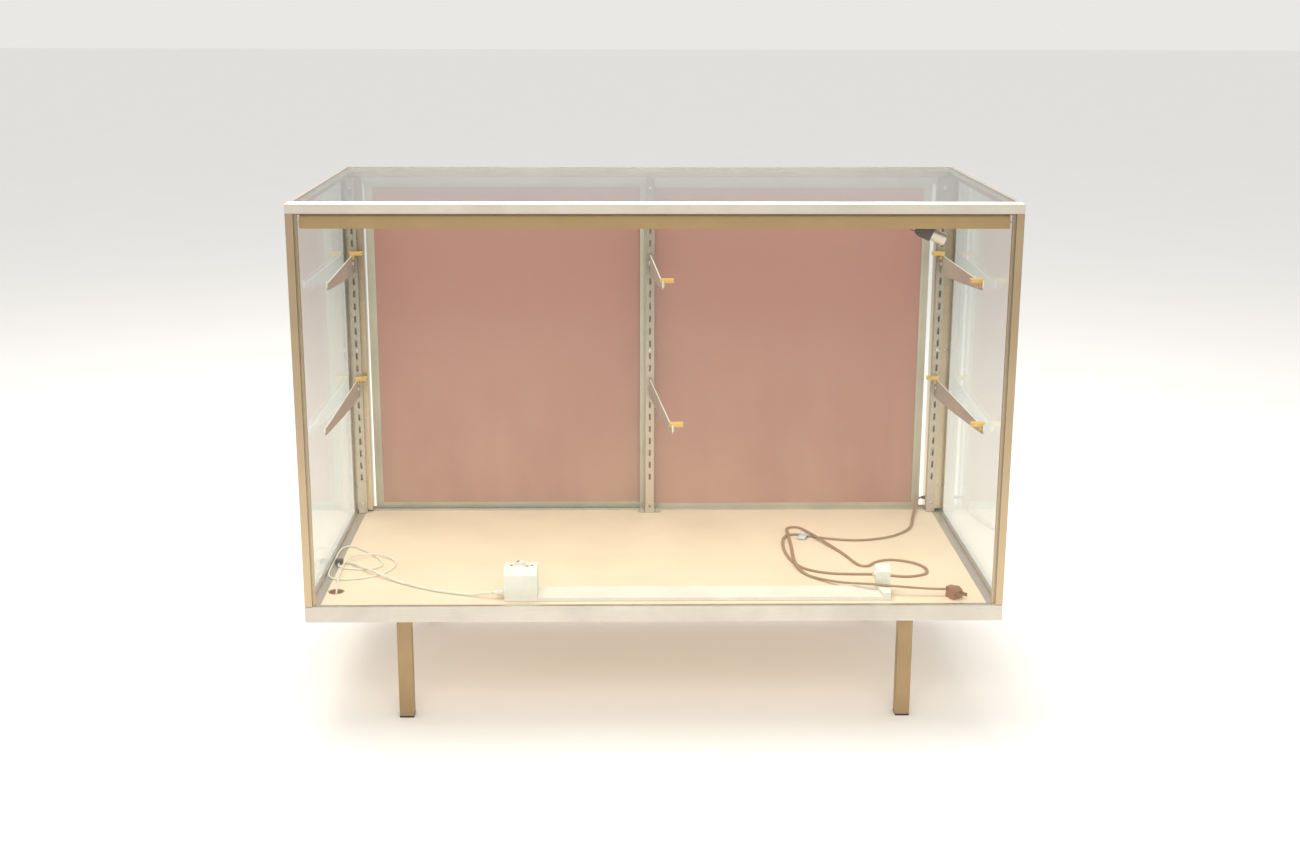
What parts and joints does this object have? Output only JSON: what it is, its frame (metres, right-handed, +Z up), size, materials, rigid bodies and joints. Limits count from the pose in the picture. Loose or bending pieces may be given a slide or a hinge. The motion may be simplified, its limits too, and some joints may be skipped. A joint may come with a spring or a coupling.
{
  "type": "glass display showcase",
  "caption": "Counter-height glass display showcase with aluminium frame, sliding rear doors, slotted standards with shelf brackets, square legs and lights with cords",
  "frame": {"origin": "middle of the overall box, on the floor under the four feet", "axes": "+X to the customer's right along the front, +Y from the front glass to the rear doors, +Z up"},
  "size_m": [1.2192, 0.6096, 0.932],
  "materials": {
    "rail_aluminium": "warm satin anodised",
    "post_aluminium": "brushed satin",
    "glass": "clear, slight green edge",
    "deck_cream": "matt cream laminate",
    "leg_tan": "satin tan",
    "black_plastic": "matt",
    "shelf_steel": "satin zinc plate",
    "amber_plastic": "translucent amber",
    "door_aluminium": "satin",
    "door_board": "glossy dusty rose hardboard",
    "gold_paint": "satin gold",
    "lamp_glass": "white coated tube",
    "dark_plastic": "dark brown moulded",
    "can_aluminium": "satin aluminium can",
    "white_paint": "white enamel",
    "white_plastic": "white",
    "white_rubber": "white flexible sheath",
    "brown_rubber": "brown flexible sheath",
    "brown_plastic": "brown moulded plug"
  },
  "bodies": {
    "case": {"top_rail_front": "rail_aluminium", "top_rail_right": "rail_aluminium", "top_rail_rear": "rail_aluminium", "top_rail_left": "rail_aluminium", "bottom_rail_front": "rail_aluminium", "bottom_rail_right": "rail_aluminium", "bottom_rail_rear": "rail_aluminium", "bottom_rail_left": "rail_aluminium", "post_front_left": "post_aluminium", "post_front_right": "post_aluminium", "post_rear_left": "post_aluminium", "post_rear_right": "post_aluminium", "glass_front": "glass", "glass_left": "glass", "glass_right": "glass", "glass_top": "glass", "deck_panel": "deck_cream", "leg_front_left": "leg_tan", "foot_glide_front_left": "black_plastic", "leg_front_right": "leg_tan", "foot_glide_front_right": "black_plastic", "leg_rear_left": "leg_tan", "foot_glide_rear_left": "black_plastic", "leg_rear_right": "leg_tan", "foot_glide_rear_right": "black_plastic", "standard_left": "shelf_steel", "standard_centre": "shelf_steel", "standard_right": "shelf_steel", "bracket_upper_left": "shelf_steel", "shelf_rest_upper_left": "amber_plastic", "bracket_upper_centre": "shelf_steel", "shelf_rest_upper_centre": "amber_plastic", "bracket_upper_right": "shelf_steel", "shelf_rest_upper_right": "amber_plastic", "bracket_lower_left": "shelf_steel", "shelf_rest_lower_left": "amber_plastic", "bracket_lower_centre": "shelf_steel", "shelf_rest_lower_centre": "amber_plastic", "bracket_lower_right": "shelf_steel", "shelf_rest_lower_right": "amber_plastic", "door_track_bottom": "rail_aluminium", "door_track_top": "rail_aluminium", "light_valance": "gold_paint", "lamp_tube": "lamp_glass", "lampholder_left": "dark_plastic", "lampholder_right": "dark_plastic", "starter": "can_aluminium", "strip_light_box": "white_paint", "strip_light_starter": "white_plastic", "strip_light_channel": "white_paint", "white_supply_cord": "white_rubber", "white_lead": "white_rubber", "brown_cord": "brown_rubber", "cord_splice": "dark_plastic", "cord_bushing": "dark_plastic", "brown_plug": "brown_plastic"},
    "left_door": {"door_frame_left": "door_aluminium", "door_panel_left": "door_board"},
    "right_door": {"door_frame_right": "door_aluminium", "door_panel_right": "door_board"}
  },
  "joints": [
    {"name": "left_door_slide", "type": "slide", "parent": "case", "child": "left_door", "axis": [1, 0, 0], "range_m": [-0.0042, 0.5592]},
    {"name": "right_door_slide", "type": "slide", "parent": "case", "child": "right_door", "axis": [1, 0, 0], "range_m": [-0.5527, 0.0107]}
  ]
}
